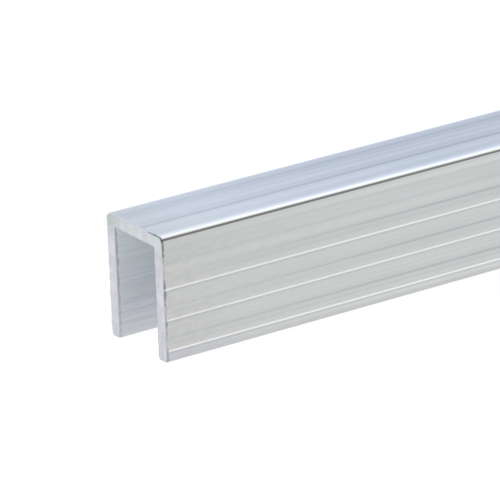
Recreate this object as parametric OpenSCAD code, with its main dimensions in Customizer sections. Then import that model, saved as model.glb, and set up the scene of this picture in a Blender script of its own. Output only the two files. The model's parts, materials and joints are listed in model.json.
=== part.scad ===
// Square U channel for edging and capping thin panels.
// One aluminium extrusion, sawn square at both ends, lying with its open side down.
// X runs along the stock, Y across it and Z up from the flange tips.
// The origin is midway along the stock, centred between the flanges, level with their tips.

/* [Stock] */
// Length of the bar as it is sold
stock_length = 500; // [100:50:3000]
// Width across the outer faces of the two flanges, without their ridges
profile_w = 10; // [7:0.5:30]
// Height from the flange tips to the top of the web
profile_h = 13; // [10.5:0.5:30]

/* [Walls] */
// Thickness of each flange
flange_t = 1.5; // [1:0.1:2]
// Thickness of the web that joins the flanges
web_t = 1.3; // [1:0.1:2]

/* [Corners] */
// Radius of the two outer corners where the flanges turn into the web
web_corner_r = 0.6; // [0.1:0.1:1]
// Radius of the corners along both edges of each flange tip
tip_corner_r = 0.4; // [0.1:0.05:0.5]
// Radius of the fillets in the two inner corners of the slot
root_fillet_r = 0.2; // [0.1:0.1:1]

/* [Ridges] */
// Number of raised ridges along the outer face of each flange
ridge_count = 3; // [1:1:3]
// Height of the lowest ridge above the flange tips
ridge_first_z = 1.25; // [1:0.05:1.5]
// Distance from one ridge to the next
ridge_pitch = 3.2; // [2:0.1:3.5]
// Distance that each ridge stands out from the flange
ridge_proud = 0.07; // [0.05:0.01:0.2]
// Radius of the rounded crest of each ridge
ridge_crest_r = 0.22; // [0.2:0.02:0.3]

/* [Hidden] */
// Overlap that lets one cut or join run clearly past another
overlap = 0.1;
// Segments in a full circle
arc_segments = 64;
slot_w = profile_w - 2 * flange_t;
slot_depth = profile_h - web_t;

// Draws its children on the +X side and again as their mirror image on the -X side.
module both_sides() {
    children();
    mirror([1, 0])
        children();
}

// What lies between a square corner at the origin, which opens towards +X +Y, and the arc
// that rounds it. It is cut from metal to round a corner, and added to a slot as a fillet.
module corner_spandrel(corner_r) {
    difference() {
        translate([-overlap, -overlap])
            square(corner_r + overlap);
        translate([corner_r, corner_r])
            circle(r = corner_r, $fn = arc_segments);
    }
}

// The U with all its corners square.
module square_u() {
    difference() {
        translate([-profile_w / 2, 0])
            square([profile_w, profile_h]);
        translate([-slot_w / 2, -overlap])
            square([slot_w, slot_depth + overlap]);
    }
}

// The corners to round on one side: the outer one at the web and the two at the flange tip.
module side_corners() {
    translate([profile_w / 2, profile_h])
        rotate(180)
            corner_spandrel(web_corner_r);
    translate([profile_w / 2, 0])
        rotate(90)
            corner_spandrel(tip_corner_r);
    translate([slot_w / 2, 0])
        corner_spandrel(tip_corner_r);
}

// The fillet between one flange and the web.
module root_fillet() {
    translate([slot_w / 2, slot_depth])
        rotate(180)
            corner_spandrel(root_fillet_r);
}

// The raised ridges on one flange, each a rounded crest sunk into the outer face.
module side_ridges() {
    for (i = [0 : ridge_count - 1])
        translate([profile_w / 2 + ridge_proud - ridge_crest_r, ridge_first_z + i * ridge_pitch])
            circle(r = ridge_crest_r, $fn = arc_segments);
}

// The extrusion's cross-section, drawn with X across the stock and Y up.
module section() {
    difference() {
        square_u();
        both_sides()
            side_corners();
    }
    both_sides() {
        root_fillet();
        side_ridges();
    }
}

module u_channel() {
    color([0.80, 0.82, 0.83])
        translate([-stock_length / 2, 0, 0])
            rotate([90, 0, 90])
                linear_extrude(height = stock_length)
                    section();
}

u_channel();
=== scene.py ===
"""Looks of the aluminium U channel: one extruded bar, its sawn ends and a plain studio round it."""
import json
import math

import bpy
from mathutils import Matrix, Vector


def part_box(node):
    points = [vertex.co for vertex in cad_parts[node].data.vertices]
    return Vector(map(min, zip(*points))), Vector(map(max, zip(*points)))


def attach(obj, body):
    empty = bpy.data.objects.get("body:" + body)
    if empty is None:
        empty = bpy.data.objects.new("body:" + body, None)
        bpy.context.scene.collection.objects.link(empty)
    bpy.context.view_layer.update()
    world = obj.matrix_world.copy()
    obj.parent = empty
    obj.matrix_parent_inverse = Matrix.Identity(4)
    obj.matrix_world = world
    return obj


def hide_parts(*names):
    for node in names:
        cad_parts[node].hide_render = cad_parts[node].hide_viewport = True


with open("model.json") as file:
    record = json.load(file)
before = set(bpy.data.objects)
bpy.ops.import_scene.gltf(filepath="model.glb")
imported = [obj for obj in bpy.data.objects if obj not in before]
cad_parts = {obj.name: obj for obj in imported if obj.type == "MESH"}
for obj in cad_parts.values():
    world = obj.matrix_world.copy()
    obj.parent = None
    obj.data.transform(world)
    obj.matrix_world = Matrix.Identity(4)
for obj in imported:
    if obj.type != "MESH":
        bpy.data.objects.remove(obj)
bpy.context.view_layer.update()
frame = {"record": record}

MM = 0.001
NODE = "u_channel"

# Sizes of the extrusion in millimetres. Its outline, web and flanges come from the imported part.
LOW, HIGH = (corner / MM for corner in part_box(NODE))
MOUNTS = {mount["name"]: Vector(mount["pos_m"]) / MM for mount in frame["record"]["mounts"]}
RIDGE_PROUD = 0.07
RIDGE_HALF_WIDTH = 0.16
RIDGE_COUNT = 3
RIDGE_FIRST_Z = 1.25
RIDGE_PITCH = 3.2
LENGTH = HIGH.x - LOW.x
WIDTH = HIGH.y - LOW.y - 2 * RIDGE_PROUD
HEIGHT = HIGH.z - LOW.z
SLOT_DEPTH = MOUNTS["slot_floor"].z
FLANGE_T = 2 * (WIDTH / 2 - abs(MOUNTS["flange_tip"].y))
WEB_CORNER_R = 0.6
TIP_CORNER_R = 0.4
ROOT_FILLET_R = 0.2
FACE_Y = WIDTH / 2
WALL_Y = WIDTH / 2 - FLANGE_T
HAIR = 0.01
ON_FACE = 0.002

# How finely the section is drawn, and how many rings the sweep has.
OUTLINE_POINTS = 2400
CORNER_SEGMENTS = 24
RINGS = 17
CREASE_DEGREES = 35

# Fine relief left by the die and the saw, in millimetres. Die lines have a spacing and a share of
# the depth, and the slot keeps only a share of them.
SCORE_FIRST_Z = 2.5
SCORE_PITCH = 3.25
SCORE_DEPTH = 0.025
SCORE_WIDTH = 0.07
DIE_LINE_DEPTH = 0.006
DIE_LINE_SPACINGS = ((0.9, 0.5), (0.28, 0.3), (0.14, 0.2))
SLOT_CALM = 0.2
BURR_LENGTH = 0.2
BURR_INSET = 0.055

# How fast each pattern in the metal changes along X, Y and Z, for each millimetre. What the die
# draws is nearly constant along the bar.
DIE_LINES = (0.006, 7.0, 7.0)
THREADS = (0.003, 3.6, 3.6)
STRANDS = (0.005, 2.6, 2.6)
BANDS = (0.004, 0.9, 0.9)
BLOOM = (0.12, 0.5, 0.5)
GRAIN = (0.9, 2.2, 2.2)
SAWN_MOTTLE = (0.8, 0.8, 0.8)
SAWN_BLOTCH = (0.3, 0.35, 0.35)
BURR_BREAKS = (0.5, 1.1, 1.1)
SAW_SLANT_DEGREES = 24
SAW_MARK_SCALE = 1.1

# How far in from the sawn end, in millimetres, each change along the bar starts and is complete.
STREAKS_REACH = 0, 32
COLOUR_REACH = 0, 25
BRIGHTER_REACH = 0, 30
FOOT_REACH = 0, 14
MOTTLED_REACH = 1, 22
TOP_DARKENING_REACH = -8, 34
PAINTED_SHEEN_RISE = 0, 6
PAINTED_SHEEN_FALL = 10, 34
DULL_END_REACH = 1, 9

# Roughness of the mill metal, and what the die lines, the bloom and the slot add to it.
MILL_ROUGHNESS = 0.13
LINES_ROUGHEN = 0.06
BLOOM_ROUGHENS = 0.03
SLOT_ROUGHENS = 0.30
SAWN_ROUGHNESS = 0.42, 0.55
BURR_ROUGHNESS = 0.45
# How much the ridge crests are painted lighter, as a painted highlight.
CREST_HIGHLIGHT = 0.40

# Soft streaks in the metal, side by side, with some painted light among them, as marked by the
# rows.
# Each has its place and half width in millimetres, then its strength at the sawn end and further
# in. Below zero it is darker than the metal round it. On the web's top the place is Y, on the
# flanges it is Z, and along a ridge it is the height above or below the ridge.
TOP_STREAKS = [
    # Painted highlight: this row lightens the web's top along its near edge.
    (-4.45, 0.45, 0.38, 0.52),
    (-3.7, 0.5, 0.06, 0.10),
    (-2.0, 0.6, 0.06, 0.08),
    (-1.0, 0.28, -0.13, -0.27),
    (-0.2, 0.2, -0.03, -0.05),
    (0.5, 0.3, 0.05, 0.06),
    (1.2, 0.2, -0.03, -0.07),
    (2.3, 0.25, -0.05, -0.08),
    (3.05, 0.35, -0.14, -0.22),
    (4.4, 0.3, 0.06, 0.10),
]
FLANGE_STREAKS = [
    (12.2, 0.35, 0.0, 0.09),
    (10.95, 0.5, -0.04, -0.03),
    (10.3, 0.2, -0.04, -0.05),
    (9.7, 0.3, 0.02, 0.02),
    (9.03, 0.16, 0.0, -0.21),
    (8.45, 0.18, -0.03, -0.05),
    (5.74, 0.16, -0.04, -0.19),
    (5.2, 0.2, -0.02, -0.03),
    (2.50, 0.17, -0.06, -0.17),
    (1.95, 0.2, -0.02, -0.03),
    # Painted light: the next two rows lighten the lowest ridge and the flange near its foot.
    (1.25, 0.1, 0.05, 0.07),
    (0.75, 0.2, 0.0, 0.10),
    (0.35, 0.12, 0.0, -0.03),
]
# Painted shade: a darker line just below each ridge.
RIDGE_SHADE = [(-0.2, 0.1, -0.12, -0.10)]

# Metal colours. Where there are two, the metal is mottled between them.
PLAIN_AT_END = (0.550, 0.557, 0.553, 1.0)
PLAIN_FURTHER_IN = (0.548, 0.559, 0.562, 1.0)
DARKER_BLUER_TOP = (0.520, 0.534, 0.546, 1.0)
LAVENDER_FOOT = (0.548, 0.555, 0.592, 1.0)
SLOT_FILL_LOW = (0.650, 0.668, 0.715, 1.0)
SLOT_FILL_HIGH = (0.780, 0.820, 0.838, 1.0)
DARK_STREAK_TINT = (1.06, 1.0, 0.92)
SAWN_LILAC = (0.56, 0.555, 0.60, 1.0), (0.73, 0.725, 0.775, 1.0)
SAWN_GREEN = (0.50, 0.545, 0.55, 1.0), (0.66, 0.705, 0.70, 1.0)
SAWN_RIM = (0.33, 0.33, 0.36, 1.0)
BURR_AND_SHADOW_DARK = (0.19, 0.195, 0.20, 1.0), (0.50, 0.50, 0.51, 1.0)
BURR_PALE_AND_HIGHLIGHT = (0.53, 0.55, 0.57, 1.0)

# The light round the bar: each stop has its tilt in degrees, from the back horizon at -90 over the
# top at 0 to the front horizon at 90, and its colour.
LIGHT_STOPS = [
    (-90, (1.12, 1.18, 1.27)),
    (-76, (0.97, 1.05, 1.21)),
    (-62, (0.88, 0.975, 1.14)),
    (-50, (1.15, 1.20, 1.28)),
    (-38, (1.34, 1.34, 1.34)),
    (14, (1.34, 1.34, 1.34)),
    (24, (0.33, 0.33, 0.33)),
    (56, (0.33, 0.33, 0.33)),
    (68, (1.08, 1.08, 1.08)),
    (90, (1.06, 1.06, 1.06)),
]
HORIZON_STRENGTH = 1.05
WHITE = (1.0, 1.0, 1.0, 1.0)

# The floor, in metres, and how much it glows by itself.
FLOOR_HALF_SIZE = 60.0
FLOOR_GREY = (0.11, 0.11, 0.11, 1.0)
FLOOR_GLOW = 0.94

# The camera, a long lens that looks down on the sawn end from the left. Its aim and distance are in
# metres, its angles in degrees and its focal length in millimetres.
CAMERA_AIM = Vector((LOW.x + 11.19, -3.39, 8.70)) * MM
CAMERA_AZIMUTH = -33.05
CAMERA_ELEVATION = 20.52
CAMERA_ROLL = -2.32
CAMERA_DISTANCE = 0.5141
CAMERA_LENS = 376.9
CAMERA_SENSOR = 36.0
CAMERA_CLIP = 0.01, 200.0


def feed(tree, socket, value):
    """Links a socket to another, or sets its value."""
    if isinstance(value, bpy.types.NodeSocket):
        tree.links.new(value, socket)
    else:
        socket.default_value = value


def add(tree, kind, inputs=None, **settings):
    """Adds a node with its settings, and feeds its inputs by name or number."""
    node = tree.nodes.new(kind)
    for name, value in settings.items():
        setattr(node, name, value)
    for key, value in (inputs or {}).items():
        feed(tree, node.inputs[key], value)
    return node


def calc(tree, operation, *values):
    """One Math node, as a socket."""
    return add(tree, "ShaderNodeMath", dict(enumerate(values)), operation=operation).outputs[0]


def ramp(tree, value, low, high, to_low=0.0, to_high=1.0):
    """Maps a value from one range to another, held at its ends."""
    return add(
        tree,
        "ShaderNodeMapRange",
        {0: value, 1: low, 2: high, 3: to_low, 4: to_high},
        clamp=True,
    ).outputs[0]


def bell(tree, offset, half_width):
    """1 where the offset is nothing, falling smoothly to 0 past a half width or two."""
    share = calc(tree, "DIVIDE", offset, half_width)
    square = calc(tree, "MULTIPLY", share, share)
    return calc(tree, "EXPONENT", calc(tree, "MULTIPLY", square, -1.0))


def from_nearest_row(tree, z, first, pitch, last):
    """How far z lies above or below the nearest of the evenly spaced rows, numbered 0 to last."""
    steps = calc(tree, "DIVIDE", calc(tree, "SUBTRACT", z, first), pitch)
    row = calc(tree, "MAXIMUM", calc(tree, "ROUND", steps), 0.0)
    row = calc(tree, "MINIMUM", row, last)
    return calc(tree, "SUBTRACT", z, calc(tree, "MULTIPLY_ADD", row, pitch, first))


def vector(tree, x, y, z):
    """Three numbers as one vector socket."""
    return add(tree, "ShaderNodeCombineXYZ", {"X": x, "Y": y, "Z": z}).outputs[0]


def named(tree, name, data_type):
    """The value of a stored attribute."""
    node = add(tree, "GeometryNodeInputNamedAttribute", {"Name": name}, data_type=data_type)
    return node.outputs["Attribute"]


def store(tree, geometry, name, value, data_type, domain="POINT"):
    """Keeps a value on the geometry, under a name."""
    node = add(
        tree,
        "GeometryNodeStoreNamedAttribute",
        {"Geometry": geometry, "Name": name},
        data_type=data_type,
        domain=domain,
    )
    feed(tree, node.inputs["Value"], value)
    return node.outputs[0]


def pick(tree, index, values, data_type):
    """Gives the value at index, from a list."""
    node = add(tree, "GeometryNodeIndexSwitch", data_type=data_type)
    while len(node.index_switch_items) < len(values):
        node.index_switch_items.new()
    feed(tree, node.inputs["Index"], index)
    for place, value in enumerate(values):
        feed(tree, node.inputs[place + 1], value)
    return node.outputs[0]


# ---------------------------------------------------------------- the extruded bar


SIZES = {
    "Length": LENGTH,
    "Width": WIDTH,
    "Height": HEIGHT,
    "Flange thickness": FLANGE_T,
    "Slot depth": SLOT_DEPTH,
    "Web corner radius": WEB_CORNER_R,
    "Tip corner radius": TIP_CORNER_R,
    "Root fillet radius": ROOT_FILLET_R,
    "Ridge count": RIDGE_COUNT,
    "First ridge height": RIDGE_FIRST_Z,
    "Ridge pitch": RIDGE_PITCH,
    "Ridge proud": RIDGE_PROUD,
    "Ridge half width": RIDGE_HALF_WIDTH,
    "First score height": SCORE_FIRST_Z,
    "Score pitch": SCORE_PITCH,
    "Score depth": SCORE_DEPTH,
    "Score width": SCORE_WIDTH,
    "Die line depth": DIE_LINE_DEPTH,
    "Slot calm": SLOT_CALM,
    "Burr length": BURR_LENGTH,
    "Burr inset": BURR_INSET,
    "Seed": 3.0,
}


def section_outline(tree, size):
    """The closed outline of the U in the YZ plane, with round corners and evenly spaced points."""
    half = calc(tree, "MULTIPLY", size["Width"], 0.5)
    near = calc(tree, "MULTIPLY", half, -1.0)
    slot = calc(tree, "SUBTRACT", half, size["Flange thickness"])
    slot_near = calc(tree, "MULTIPLY", slot, -1.0)
    corners = [
        (near, 0.0, "Tip corner radius"),
        (near, size["Height"], "Web corner radius"),
        (half, size["Height"], "Web corner radius"),
        (half, 0.0, "Tip corner radius"),
        (slot, 0.0, "Tip corner radius"),
        (slot, size["Slot depth"], "Root fillet radius"),
        (slot_near, size["Slot depth"], "Root fillet radius"),
        (slot_near, 0.0, "Tip corner radius"),
    ]
    index = add(tree, "GeometryNodeInputIndex").outputs[0]
    line = add(tree, "GeometryNodeMeshLine", {"Count": len(corners)})
    curve = add(tree, "GeometryNodeMeshToCurve", {"Mesh": line.outputs[0]})
    places = [vector(tree, 0.0, y, z) for y, z, _ in corners]
    placed = add(
        tree,
        "GeometryNodeSetPosition",
        {"Geometry": curve.outputs[0], "Position": pick(tree, index, places, "VECTOR")},
    )
    closed = add(
        tree, "GeometryNodeSetSplineCyclic", {"Geometry": placed.outputs[0], "Cyclic": True}
    )
    rounded = add(
        tree,
        "GeometryNodeFilletCurve",
        {
            "Curve": closed.outputs[0],
            "Count": CORNER_SEGMENTS,
            "Radius": pick(tree, index, [size[radius] for _, _, radius in corners], "FLOAT"),
            "Limit Radius": True,
        },
        mode="POLY",
    )
    even = add(
        tree,
        "GeometryNodeResampleCurve",
        {"Curve": rounded.outputs[0], "Count": OUTLINE_POINTS},
    )
    return even.outputs[0]


def ridge_and_score(tree, size, y, z):
    """How far the outline stands out from a flange's outer face: round ridges, and fine scores
    a little above each."""
    last = calc(tree, "SUBTRACT", size["Ridge count"], 1.0)
    off_ridge = from_nearest_row(tree, z, size["First ridge height"], size["Ridge pitch"], last)
    ridge = bell(tree, off_ridge, size["Ridge half width"])
    ridge = calc(tree, "MULTIPLY", ridge, size["Ridge proud"])
    off_score = from_nearest_row(tree, z, size["First score height"], size["Score pitch"], last)
    dip = bell(tree, off_score, size["Score width"])
    relief = calc(tree, "SUBTRACT", ridge, calc(tree, "MULTIPLY", dip, size["Score depth"]))

    face = calc(tree, "MULTIPLY", size["Width"], 0.5)
    on_face = calc(tree, "COMPARE", calc(tree, "ABSOLUTE", y), face, ON_FACE)
    return calc(tree, "MULTIPLY", relief, on_face)


def slot_edge(tree, size):
    """How far the slot's walls lie from the middle plane, with a hair to spare."""
    wall = calc(tree, "MULTIPLY_ADD", size["Width"], 0.5, HAIR)
    return calc(tree, "SUBTRACT", wall, size["Flange thickness"])


def die_lines(tree, size, along, across):
    """Shallow lines that the die draws along the bar, always below the true surface."""
    lines = 0.0
    for spacing, share in DIE_LINE_SPACINGS:
        noise = add(
            tree,
            "ShaderNodeTexNoise",
            {
                "Vector": vector(
                    tree,
                    calc(tree, "MULTIPLY", along, 0.004),
                    calc(tree, "DIVIDE", across, spacing),
                    calc(tree, "ADD", size["Seed"], 7.0 * spacing),
                ),
                "Scale": 1.0,
                "Detail": 1.0,
            },
            noise_dimensions="3D",
        )
        lines = calc(tree, "MULTIPLY_ADD", noise.outputs[0], share, lines)
    return calc(tree, "MULTIPLY", lines, calc(tree, "MULTIPLY", size["Die line depth"], -1.0))


def ragged(tree, size, along, across):
    """A share from 0.4 to 1.7 that wanders round the outline, different at the two ends."""
    end = calc(tree, "SIGN", along)
    place = vector(tree, end, calc(tree, "MULTIPLY", across, 1.3), size["Seed"])
    noise = add(
        tree,
        "ShaderNodeTexNoise",
        {"Vector": place, "Scale": 1.0, "Detail": 3.0},
        noise_dimensions="3D",
    )
    return ramp(tree, noise.outputs[0], 0.3, 0.7, 0.4, 1.7)


def ring_places(tree, size):
    """The path of the sweep: a line of points that each keep where their ring goes along the bar.
    One ring is at each sawn end, one where its burr starts, and the rest are even between."""
    middle = (RINGS - 1) / 2
    index = add(tree, "GeometryNodeInputIndex").outputs[0]
    half = calc(tree, "MULTIPLY", size["Length"], 0.5)
    from_end = calc(tree, "MINIMUM", index, calc(tree, "SUBTRACT", RINGS - 1.0, index))
    step = calc(tree, "DIVIDE", calc(tree, "SUBTRACT", half, size["Burr length"]), middle - 1.0)
    past_burr = calc(tree, "SUBTRACT", from_end, 1.0)
    inward = calc(tree, "MULTIPLY_ADD", past_burr, step, size["Burr length"])
    inward = calc(tree, "MULTIPLY", inward, calc(tree, "GREATER_THAN", from_end, 0.5))
    side = calc(tree, "SIGN", calc(tree, "SUBTRACT", index, middle))
    x = calc(tree, "MULTIPLY", side, calc(tree, "SUBTRACT", half, inward))
    line = add(tree, "GeometryNodeMeshLine", {"Count": RINGS, "Offset": (1.0, 0.0, 0.0)})
    curve = add(tree, "GeometryNodeMeshToCurve", {"Mesh": line.outputs[0]}).outputs[0]
    curve = store(tree, curve, "along", x, "FLOAT")
    curve = store(tree, curve, "at_end", calc(tree, "LESS_THAN", from_end, 0.5), "FLOAT")
    return store(tree, curve, "at_burr_root", calc(tree, "COMPARE", from_end, 1.0, 0.5), "FLOAT")


def extrusion_tree(mill, sawn, burr):
    """Geometry Nodes that draw the section, sweep it along the bar and give it its fine relief."""
    tree = bpy.data.node_groups.new("Extruded U channel", "GeometryNodeTree")
    tree.interface.new_socket("Geometry", in_out="OUTPUT", socket_type="NodeSocketGeometry")
    for name in SIZES:
        tree.interface.new_socket(name, in_out="INPUT", socket_type="NodeSocketFloat")
    group_in = tree.nodes.new("NodeGroupInput")
    size = {name: group_in.outputs[name] for name in SIZES}

    outline = section_outline(tree, size)
    position = add(tree, "GeometryNodeInputPosition").outputs[0]
    tangent = add(tree, "GeometryNodeInputTangent").outputs[0]
    length_along_outline = add(tree, "GeometryNodeSplineParameter").outputs["Length"]
    outward = add(
        tree, "ShaderNodeVectorMath", {0: (1.0, 0.0, 0.0), 1: tangent}, operation="CROSS_PRODUCT"
    ).outputs[0]
    outline = store(tree, outline, "outline_point", position, "FLOAT_VECTOR")
    outline = store(tree, outline, "outward", outward, "FLOAT_VECTOR")
    outline = store(tree, outline, "across", length_along_outline, "FLOAT")

    bar = add(
        tree,
        "GeometryNodeCurveToMesh",
        {"Curve": ring_places(tree, size), "Profile Curve": outline, "Fill Caps": True},
    ).outputs[0]
    # The sweep leaves its faces looking inward, so they are turned round.
    bar = add(tree, "GeometryNodeFlipFaces", {"Mesh": bar}).outputs[0]

    along, across, at_end, at_burr_root = (
        named(tree, name, "FLOAT") for name in ("along", "across", "at_end", "at_burr_root")
    )
    place = add(
        tree, "ShaderNodeSeparateXYZ", {0: named(tree, "outline_point", "FLOAT_VECTOR")}
    )
    y, z = place.outputs["Y"], place.outputs["Z"]
    relief = ridge_and_score(tree, size, y, z)
    in_slot = calc(
        tree,
        "MULTIPLY",
        calc(tree, "LESS_THAN", calc(tree, "ABSOLUTE", y), slot_edge(tree, size)),
        calc(tree, "LESS_THAN", z, calc(tree, "ADD", size["Slot depth"], HAIR)),
    )
    calm = calc(tree, "MULTIPLY_ADD", in_slot, calc(tree, "SUBTRACT", size["Slot calm"], 1.0), 1.0)
    relief = calc(tree, "MULTIPLY_ADD", die_lines(tree, size, along, across), calm, relief)
    torn = ragged(tree, size, along, across)
    inset = calc(tree, "MULTIPLY", calc(tree, "MULTIPLY", at_end, size["Burr inset"]), torn)
    relief = calc(tree, "SUBTRACT", relief, inset)
    reach = calc(tree, "MULTIPLY", calc(tree, "SUBTRACT", torn, 1.0), size["Burr length"])
    reach = calc(tree, "MULTIPLY", reach, at_burr_root)
    reach = calc(tree, "MULTIPLY", reach, calc(tree, "SIGN", along))
    x = calc(tree, "SUBTRACT", along, reach)
    moved = add(
        tree,
        "ShaderNodeVectorMath",
        {
            0: named(tree, "outward", "FLOAT_VECTOR"),
            1: vector(tree, relief, relief, relief),
            2: vector(tree, x, y, z),
        },
        operation="MULTIPLY_ADD",
    ).outputs[0]
    in_metres = add(
        tree, "ShaderNodeVectorMath", {0: moved, "Scale": MM}, operation="SCALE"
    ).outputs[0]
    bar = add(tree, "GeometryNodeSetPosition", {"Geometry": bar, "Position": in_metres}).outputs[0]

    grain = vector(tree, calc(tree, "MULTIPLY", along, MM), calc(tree, "MULTIPLY", across, MM), 0.0)
    bar = store(tree, bar, "grain", grain, "FLOAT2", domain="CORNER")

    edge = add(tree, "GeometryNodeInputMeshEdgeAngle").outputs[0]
    crease = calc(tree, "GREATER_THAN", edge, math.radians(CREASE_DEGREES))
    bar = add(
        tree,
        "GeometryNodeSetShadeSmooth",
        {"Geometry": bar, "Selection": crease, "Shade Smooth": False},
        domain="EDGE",
    ).outputs[0]

    bar = add(tree, "GeometryNodeRealizeInstances", {"Geometry": bar}).outputs[0]
    bar = add(tree, "GeometryNodeSetMaterial", {"Geometry": bar, "Material": mill}).outputs[0]
    # at_end is 1 on an end's own face, and a half on the faces between its ring and the next.
    burr_band = calc(tree, "GREATER_THAN", at_end, 0.25)
    bar = add(
        tree, "GeometryNodeSetMaterial", {"Geometry": bar, "Selection": burr_band, "Material": burr}
    ).outputs[0]
    end_face = calc(tree, "GREATER_THAN", at_end, 0.9)
    bar = add(
        tree, "GeometryNodeSetMaterial", {"Geometry": bar, "Selection": end_face, "Material": sawn}
    ).outputs[0]
    group_out = tree.nodes.new("NodeGroupOutput")
    tree.links.new(bar, group_out.inputs[0])
    return tree


def extruded_bar(mill, sawn, burr):
    """The bar as a plain mesh, made by the Geometry Nodes at this bar's sizes."""
    tree = extrusion_tree(mill, sawn, burr)
    maker = bpy.data.objects.new("bar_maker", bpy.data.meshes.new("bar_maker"))
    bpy.context.scene.collection.objects.link(maker)
    modifier = maker.modifiers.new("Extruded U channel", "NODES")
    modifier.node_group = tree
    for item in tree.interface.items_tree:
        if item.in_out == "INPUT":
            modifier[item.identifier] = float(SIZES[item.name])
    depsgraph = bpy.context.evaluated_depsgraph_get()
    mesh = bpy.data.meshes.new_from_object(
        maker.evaluated_get(depsgraph), preserve_all_data_layers=True, depsgraph=depsgraph
    )
    bpy.data.objects.remove(maker)
    for name in ("outline_point", "outward", "along", "across", "at_end", "at_burr_root"):
        if name in mesh.attributes:
            mesh.attributes.remove(mesh.attributes[name])
    mesh.name = "channel_bar"
    bar = bpy.data.objects.new("channel_bar", mesh)
    bpy.context.scene.collection.objects.link(bar)
    return bar


# ---------------------------------------------------------------- materials


def new_material(name):
    """An empty material with its shader, ready for its nodes."""
    material = bpy.data.materials.new(name)
    material.use_nodes = True
    tree = material.node_tree
    tree.nodes.clear()
    shader = tree.nodes.new("ShaderNodeBsdfPrincipled")
    output = tree.nodes.new("ShaderNodeOutputMaterial")
    tree.links.new(shader.outputs[0], output.inputs[0])
    return material, tree, shader


def stretched_noise(tree, scale, detail=2.0, roughness=0.5, distortion=0.0):
    """Noise on the bar's own coordinates, with its own scale per millimetre along X, Y and Z."""
    coordinates = add(tree, "ShaderNodeTexCoord").outputs["Object"]
    mapping = add(
        tree, "ShaderNodeMapping", {"Vector": coordinates, "Scale": [s / MM for s in scale]}
    )
    noise = add(
        tree,
        "ShaderNodeTexNoise",
        {
            "Vector": mapping.outputs[0],
            "Scale": 1.0,
            "Detail": detail,
            "Roughness": roughness,
            "Distortion": distortion,
        },
    )
    return noise.outputs[0]


def mix_value(tree, share, first, second):
    """The first value at a share of 0 and the second at 1."""
    return calc(tree, "MULTIPLY_ADD", share, calc(tree, "SUBTRACT", second, first), first)


def mix_colour(tree, share, first, second):
    """The first colour at a share of 0 and the second at 1."""
    node = add(tree, "ShaderNodeMix", data_type="RGBA")
    feed(tree, node.inputs[0], share)
    feed(tree, node.inputs[6], first)
    feed(tree, node.inputs[7], second)
    return node.outputs[2]


def times(tree, tone, change, where):
    """A tone, changed by a share of itself where that applies."""
    return calc(tree, "MULTIPLY", tone, calc(tree, "MULTIPLY_ADD", change, where, 1.0))


def streaks(tree, place, inward, marks):
    """The sum of soft streaks side by side, as the lists of them describe."""
    total = 0.0
    for centre, half_width, at_end, further_in in marks:
        soft = bell(tree, calc(tree, "SUBTRACT", place, centre), half_width)
        strength = mix_value(tree, inward, at_end, further_in)
        total = calc(tree, "MULTIPLY_ADD", soft, strength, total)
    return total


def bar_places(tree):
    """Where a point lies on the bar, in millimetres: along it, across it and up."""
    coordinates = add(tree, "ShaderNodeTexCoord").outputs["Object"]
    parts = add(tree, "ShaderNodeSeparateXYZ", {0: coordinates})
    x, y, z = (calc(tree, "DIVIDE", parts.outputs[axis], MM) for axis in range(3))
    return x, y, z


def over_reach(tree, x, reach, at_end, further_in):
    """Goes from one value to another along the bar, over a reach in from the sawn end at -X."""
    start, end = reach
    return ramp(tree, x, LOW.x + start, LOW.x + end, at_end, further_in)


def mill_regions(tree, x, y, z):
    """Shares that say how far a point is on the web's top, in the slot or on a flange's outside."""
    out = calc(tree, "ABSOLUTE", y)
    normal = add(tree, "ShaderNodeTexCoord").outputs["Normal"]
    upward = add(tree, "ShaderNodeSeparateXYZ", {0: normal}).outputs["Z"]
    on_top = ramp(tree, upward, 0.8, 0.95)
    inside = ramp(tree, out, WALL_Y, WALL_Y + 0.35, 1.0, 0.0)
    in_slot = calc(tree, "MULTIPLY", inside, calc(tree, "LESS_THAN", z, SLOT_DEPTH + 0.5))
    outside = ramp(tree, out, FACE_Y - 0.3, FACE_Y - 0.1)
    below_corner = ramp(tree, z, HEIGHT - 0.8, HEIGHT - 0.4, 1.0, 0.0)
    on_flange = calc(tree, "MULTIPLY", outside, below_corner)
    return on_top, in_slot, on_flange


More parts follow.
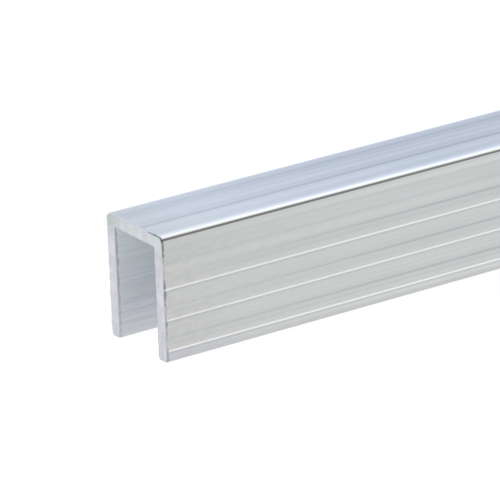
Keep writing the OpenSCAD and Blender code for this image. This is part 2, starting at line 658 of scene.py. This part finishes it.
def mill_tone(tree, x, y, z, lines, bloom, on_top, in_slot, on_flange):
    """How light or dark the metal is, about 1: die streaks of many widths, with slow changes."""
    bands = stretched_noise(tree, BANDS)
    strands = stretched_noise(tree, STRANDS)
    threads = stretched_noise(tree, THREADS)
    grain = stretched_noise(tree, GRAIN, detail=3.0)

    tone = ramp(tree, lines, 0.25, 0.75, 0.95, 1.05)
    tone = calc(tree, "MULTIPLY", tone, ramp(tree, strands, 0.25, 0.75, 0.95, 1.05))
    tone = calc(tree, "MULTIPLY", tone, ramp(tree, bands, 0.25, 0.75, 0.97, 1.03))
    tone = times(tree, tone, ramp(tree, threads, 0.3, 0.7, -0.06, 0.06), on_top)

    # Near the sawn end the flanges are less streaked and more mottled.
    settled = calc(tree, "MULTIPLY", on_flange, over_reach(tree, x, MOTTLED_REACH, 0.6, 0.0))
    tone = mix_value(tree, settled, tone, 1.0)
    tone = calc(tree, "MULTIPLY", tone, ramp(tree, bloom, 0.3, 0.7, 0.985, 1.015))
    tone = mix_value(tree, in_slot, tone, ramp(tree, tone, 0.8, 1.2, 0.93, 1.07))
    tone = calc(tree, "MULTIPLY", tone, over_reach(tree, x, BRIGHTER_REACH, 1.0, 1.015))
    tone = times(tree, tone, ramp(tree, grain, 0.35, 0.65, -0.06, 0.06), settled)

    # Painted sheen: the web's top is painted lightest a little way in from the sawn end.
    rise = over_reach(tree, x, PAINTED_SHEEN_RISE, 0.0, 0.04)
    fall = over_reach(tree, x, PAINTED_SHEEN_FALL, 0.04, 0.01)
    tone = times(tree, tone, calc(tree, "MINIMUM", rise, fall), on_top)

    # Painted light makes the flanges lighter low down, both ends are duller, and a painted
    # highlight makes the ridge crests bright.
    tone = times(tree, tone, ramp(tree, z, 6.5, 8.5, 0.022, 0.0), on_flange)
    dull, plain = (HIGH.x - reach for reach in DULL_END_REACH)
    ends = ramp(tree, calc(tree, "ABSOLUTE", x), plain, dull, 1.0, 0.96)
    tone = calc(tree, "MULTIPLY", tone, ends)
    crest = ramp(tree, calc(tree, "ABSOLUTE", y), FACE_Y + 0.03, FACE_Y + 0.065)
    return times(tree, tone, CREST_HIGHLIGHT, crest)


def mill_finish():
    """Bare extruded aluminium: long streaks, fine die lines, a faint bloom and a dull slot,
    whose paler colour is partly painted light.
    """
    material, tree, shader = new_material("Mill finish")
    x, y, z = bar_places(tree)
    on_top, in_slot, on_flange = mill_regions(tree, x, y, z)
    lines = stretched_noise(tree, DIE_LINES, detail=3.0, roughness=0.6)
    bloom = stretched_noise(tree, BLOOM, detail=4.0)
    tone = mill_tone(tree, x, y, z, lines, bloom, on_top, in_slot, on_flange)

    inward = over_reach(tree, x, STREAKS_REACH, 0.0, 1.0)
    off_ridge = from_nearest_row(tree, z, RIDGE_FIRST_Z, RIDGE_PITCH, RIDGE_COUNT - 1.0)
    side = calc(
        tree,
        "ADD",
        streaks(tree, z, inward, FLANGE_STREAKS),
        streaks(tree, off_ridge, inward, RIDGE_SHADE),
    )
    side = calc(tree, "MULTIPLY", side, on_flange)
    top = calc(tree, "MULTIPLY", streaks(tree, y, inward, TOP_STREAKS), on_top)
    streak = calc(tree, "ADD", top, side)
    bright = calc(tree, "ADD", calc(tree, "MAXIMUM", streak, 0.0), 1.0)
    dark = calc(tree, "MINIMUM", streak, 0.0)
    tinted = [calc(tree, "MULTIPLY_ADD", dark, share, bright) for share in DARK_STREAK_TINT]

    plain = over_reach(tree, x, COLOUR_REACH, 0.0, 1.0)
    metal = mix_colour(tree, plain, PLAIN_AT_END, PLAIN_FURTHER_IN)
    low_down = ramp(tree, z, 0.9, 1.2, 1.0, 0.0)
    foot = calc(tree, "MULTIPLY", low_down, over_reach(tree, x, FOOT_REACH, 1.0, 0.0))
    metal = mix_colour(tree, foot, metal, LAVENDER_FOOT)
    # The web's top is darker and a little bluer further in from the sawn end.
    top_darkening = calc(tree, "MULTIPLY", on_top, over_reach(tree, x, TOP_DARKENING_REACH, 0.0, 1.0))
    metal = mix_colour(tree, top_darkening, metal, DARKER_BLUER_TOP)
    # The slot's metal is paler than the rest, partly for its rougher finish and partly as painted
    # light against the shade in it, most of all high up under the web.
    slot_fill = mix_colour(tree, ramp(tree, z, 3.0, 9.5), SLOT_FILL_LOW, SLOT_FILL_HIGH)
    metal = mix_colour(tree, in_slot, metal, slot_fill)
    colour = add(
        tree, "ShaderNodeVectorMath", {0: metal, 1: vector(tree, *tinted)}, operation="MULTIPLY"
    )
    colour = add(
        tree, "ShaderNodeVectorMath", {0: colour.outputs[0], "Scale": tone}, operation="SCALE"
    )
    feed(tree, shader.inputs["Base Color"], colour.outputs[0])
    feed(tree, shader.inputs["Metallic"], ramp(tree, in_slot, 0.0, 1.0, 1.0, 0.6))

    rough = ramp(tree, lines, 0.3, 0.7)
    rough = calc(tree, "MULTIPLY_ADD", rough, LINES_ROUGHEN, MILL_ROUGHNESS)
    rough = calc(tree, "MULTIPLY_ADD", ramp(tree, bloom, 0.35, 0.65), BLOOM_ROUGHENS, rough)
    rough = calc(tree, "MULTIPLY_ADD", in_slot, SLOT_ROUGHENS, rough)
    feed(tree, shader.inputs["Roughness"], rough)
    shader.inputs["Anisotropic"].default_value = 0.3
    tangent = add(tree, "ShaderNodeTangent", direction_type="UV_MAP", uv_map="grain")
    feed(tree, shader.inputs["Tangent"], tangent.outputs[0])
    bump = add(
        tree, "ShaderNodeBump", {"Strength": 0.25, "Distance": 0.004 * MM, "Height": lines}
    )
    feed(tree, shader.inputs["Normal"], bump.outputs[0])
    return material


def saw_marks(tree):
    """The fine slanting marks that the saw's teeth leave."""
    coordinates = add(tree, "ShaderNodeTexCoord").outputs["Object"]
    slant = add(
        tree,
        "ShaderNodeMapping",
        {
            "Vector": coordinates,
            "Rotation": (math.radians(SAW_SLANT_DEGREES), 0.0, 0.0),
            "Scale": (1 / MM,) * 3,
        },
    )
    wave = add(
        tree,
        "ShaderNodeTexWave",
        {
            "Vector": slant.outputs[0],
            "Scale": SAW_MARK_SCALE,
            "Distortion": 1.4,
            "Detail": 3.0,
            "Detail Scale": 1.5,
        },
        wave_type="BANDS",
        bands_direction="Z",
    )
    return wave.outputs["Fac"]


def slot_rim(tree, y, z):
    """A thin band round the slot's edge, where the sawn face is darker."""
    out = calc(tree, "ABSOLUTE", y)
    from_wall = calc(tree, "ABSOLUTE", calc(tree, "SUBTRACT", out, WALL_Y))
    by_wall = ramp(tree, from_wall, 0.05, 0.22, 1.0, 0.0)
    by_wall = calc(tree, "MULTIPLY", by_wall, calc(tree, "LESS_THAN", z, SLOT_DEPTH))
    from_web = calc(tree, "ABSOLUTE", calc(tree, "SUBTRACT", z, SLOT_DEPTH))
    by_web = ramp(tree, from_web, 0.05, 0.22, 1.0, 0.0)
    by_web = calc(tree, "MULTIPLY", by_web, calc(tree, "LESS_THAN", out, WALL_Y + 0.1))
    return calc(tree, "MAXIMUM", by_wall, by_web)


def sawn_end():
    """The sawn end: paler and rougher, with the saw's marks and a greenish tinge over the web."""
    material, tree, shader = new_material("Sawn end")
    _, y, z = bar_places(tree)
    mottle = stretched_noise(tree, SAWN_MOTTLE, detail=4.0)
    blotch = stretched_noise(tree, SAWN_BLOTCH, detail=3.0, distortion=0.4)
    marks = saw_marks(tree)
    tone = calc(tree, "MULTIPLY_ADD", marks, 0.25, ramp(tree, mottle, 0.35, 0.65, 0.0, 0.75))
    on_web = ramp(tree, z, SLOT_DEPTH - 0.6, SLOT_DEPTH)
    # Painted light: the web's part of the sawn end is lighter on its -Y half and darker towards +Y.
    lit = calc(tree, "MULTIPLY", ramp(tree, y, 0.0, 4.5, 0.22, -0.25), on_web)
    tone = calc(tree, "ADD", tone, lit)
    lilac = mix_colour(tree, tone, *SAWN_LILAC)
    green = mix_colour(tree, tone, *SAWN_GREEN)
    tinge = calc(
        tree, "MAXIMUM", ramp(tree, blotch, 0.40, 0.55), ramp(tree, y, 1.5, 3.5, 0.0, 0.9)
    )
    tinge = calc(tree, "MULTIPLY", ramp(tree, z, SLOT_DEPTH - 1.2, SLOT_DEPTH + 0.2), tinge)
    colour = mix_colour(tree, tinge, lilac, green)
    dull = calc(tree, "MULTIPLY", slot_rim(tree, y, z), 0.45)
    colour = mix_colour(tree, dull, colour, SAWN_RIM)
    feed(tree, shader.inputs["Base Color"], colour)
    shader.inputs["Metallic"].default_value = 1.0
    feed(tree, shader.inputs["Roughness"], ramp(tree, mottle, 0.3, 0.7, *SAWN_ROUGHNESS))
    bump = add(
        tree, "ShaderNodeBump", {"Strength": 0.5, "Distance": 0.02 * MM, "Height": marks}
    )
    feed(tree, shader.inputs["Normal"], bump.outputs[0])
    return material


def torn_burr_and_edge_shadow():
    """Smeared metal round each sawn end, with a painted shadow line along its near side: dark and
    broken by the near corner, pale elsewhere, and a painted highlight where each ridge meets the
    cut.
    """
    material, tree, shader = new_material("Sawn burr and edge shadow")
    _, y, z = bar_places(tree)
    out = calc(tree, "ABSOLUTE", y)
    breaks = stretched_noise(tree, BURR_BREAKS, detail=3.0)
    fewer_by_corner = ramp(tree, z, HEIGHT - 0.9, HEIGHT - 0.5, 1.0, 0.35)
    breaks = calc(tree, "MULTIPLY", ramp(tree, breaks, 0.42, 0.62), fewer_by_corner)
    # Dark burr and painted shadow: the dark colour runs along the near side, strongest by the near
    # corner.
    dark = mix_colour(tree, breaks, *BURR_AND_SHADOW_DARK)

    off_corner = ramp(tree, y, -2.9, -2.3)
    # Painted highlight: the burr is pale where each ridge meets the cut.
    ridge_end_highlight = ramp(tree, out, FACE_Y, FACE_Y + 0.06)
    pale = calc(tree, "MAXIMUM", off_corner, ridge_end_highlight)
    lower = ramp(tree, z, 2.0, HEIGHT - 0.6, 0.5, 0.14)
    lower = calc(tree, "MINIMUM", lower, ramp(tree, z, HEIGHT - 0.6, HEIGHT - 0.4, 1.0, 0.0))
    pale = calc(tree, "MAXIMUM", pale, lower)
    wall = calc(tree, "LESS_THAN", out, WALL_Y + 0.15)
    wall = calc(tree, "MULTIPLY", wall, calc(tree, "LESS_THAN", z, SLOT_DEPTH - 0.1))
    pale = mix_value(tree, wall, pale, 0.9)
    feed(tree, shader.inputs["Base Color"], mix_colour(tree, pale, dark, BURR_PALE_AND_HIGHLIGHT))
    shader.inputs["Metallic"].default_value = 1.0
    shader.inputs["Roughness"].default_value = BURR_ROUGHNESS
    return material


# ---------------------------------------------------------------- studio


def pale_floor():
    """A plain white table that glows by itself, so that the bar leaves almost no shadow on it."""
    size = FLOOR_HALF_SIZE
    mesh = bpy.data.meshes.new("floor")
    corners = [(-size, -size, 0), (size, -size, 0), (size, size, 0), (-size, size, 0)]
    mesh.from_pydata(corners, [], [(0, 1, 2, 3)])
    floor = bpy.data.objects.new("floor", mesh)
    floor.location.z = LOW.z * MM
    bpy.context.scene.collection.objects.link(floor)
    material, tree, shader = new_material("White table")
    shader.inputs["Base Color"].default_value = FLOOR_GREY
    shader.inputs["Roughness"].default_value = 0.9
    shader.inputs["Specular IOR Level"].default_value = 0.0
    shader.inputs["Emission Color"].default_value = WHITE
    shader.inputs["Emission Strength"].default_value = FLOOR_GLOW
    mesh.materials.append(material)
    return floor


def studio_light():
    """Long soft light over the bar from the back to just past overhead, a dark strip before it,
    and a white horizon all round."""
    world = bpy.data.worlds.new("Studio")
    bpy.context.scene.world = world
    world.use_nodes = True
    tree = world.node_tree
    tree.nodes.clear()
    direction = add(tree, "ShaderNodeTexCoord").outputs["Generated"]
    parts = add(tree, "ShaderNodeSeparateXYZ", {0: direction})
    forward = calc(tree, "MULTIPLY", parts.outputs["Y"], -1.0)
    tilt = calc(tree, "ARCTAN2", forward, parts.outputs["Z"])
    strip = add(tree, "ShaderNodeValToRGB", {0: ramp(tree, tilt, -math.pi / 2, math.pi / 2)})
    elements = strip.color_ramp.elements
    while len(elements) < len(LIGHT_STOPS):
        elements.new(1.0)
    for element, (degrees, colour) in zip(elements, LIGHT_STOPS):
        element.position = (degrees + 90) / 180
        element.color = (*colour, 1.0)
    # The light at the back fades towards +X, and the light overhead and in front doesn't.
    fade = ramp(tree, parts.outputs["X"], 0.3, 0.8, 1.10, 0.75)
    overhead = ramp(tree, tilt, math.radians(-60), math.radians(-30))
    strength = mix_value(tree, overhead, fade, 1.0)
    # It is dimmer past the bar's two ends.
    lengthways = calc(tree, "ABSOLUTE", parts.outputs["X"])
    end_on = calc(
        tree,
        "MULTIPLY",
        ramp(tree, lengthways, 0.61, 0.72, 1.0, 0.82),
        ramp(tree, lengthways, 0.8, 1.0, 1.0, 0.74),
    )
    strength = calc(tree, "MULTIPLY", strength, end_on)
    above = ramp(tree, parts.outputs["Z"], 0.012, 0.03)
    colour = mix_colour(tree, above, WHITE, strip.outputs[0])
    strength = mix_value(tree, above, HORIZON_STRENGTH, strength)
    background = add(tree, "ShaderNodeBackground", {"Color": colour, "Strength": strength})
    output = tree.nodes.new("ShaderNodeOutputWorld")
    tree.links.new(background.outputs[0], output.inputs[0])


def place_camera():
    """The camera, turned to its aim."""
    azimuth, elevation = math.radians(CAMERA_AZIMUTH), math.radians(CAMERA_ELEVATION)
    back = Vector(
        (
            math.sin(azimuth) * math.cos(elevation),
            -math.cos(azimuth) * math.cos(elevation),
            math.sin(elevation),
        )
    )
    data = bpy.data.cameras.new("camera")
    data.lens = CAMERA_LENS
    data.sensor_width = CAMERA_SENSOR
    data.clip_start, data.clip_end = CAMERA_CLIP
    camera = bpy.data.objects.new("camera", data)
    turn = (-back).to_track_quat("-Z", "Y").to_matrix().to_4x4()
    roll = Matrix.Rotation(math.radians(CAMERA_ROLL), 4, "Z")
    camera.matrix_world = Matrix.Translation(CAMERA_AIM + back * CAMERA_DISTANCE) @ turn @ roll
    bpy.context.scene.collection.objects.link(camera)
    bpy.context.scene.camera = camera


# ---------------------------------------------------------------- the scene


bar = extruded_bar(mill_finish(), sawn_end(), torn_burr_and_edge_shadow())
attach(bar, "root")
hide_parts(NODE)

pale_floor()
studio_light()
place_camera()
bpy.context.scene.view_settings.view_transform = "Standard"
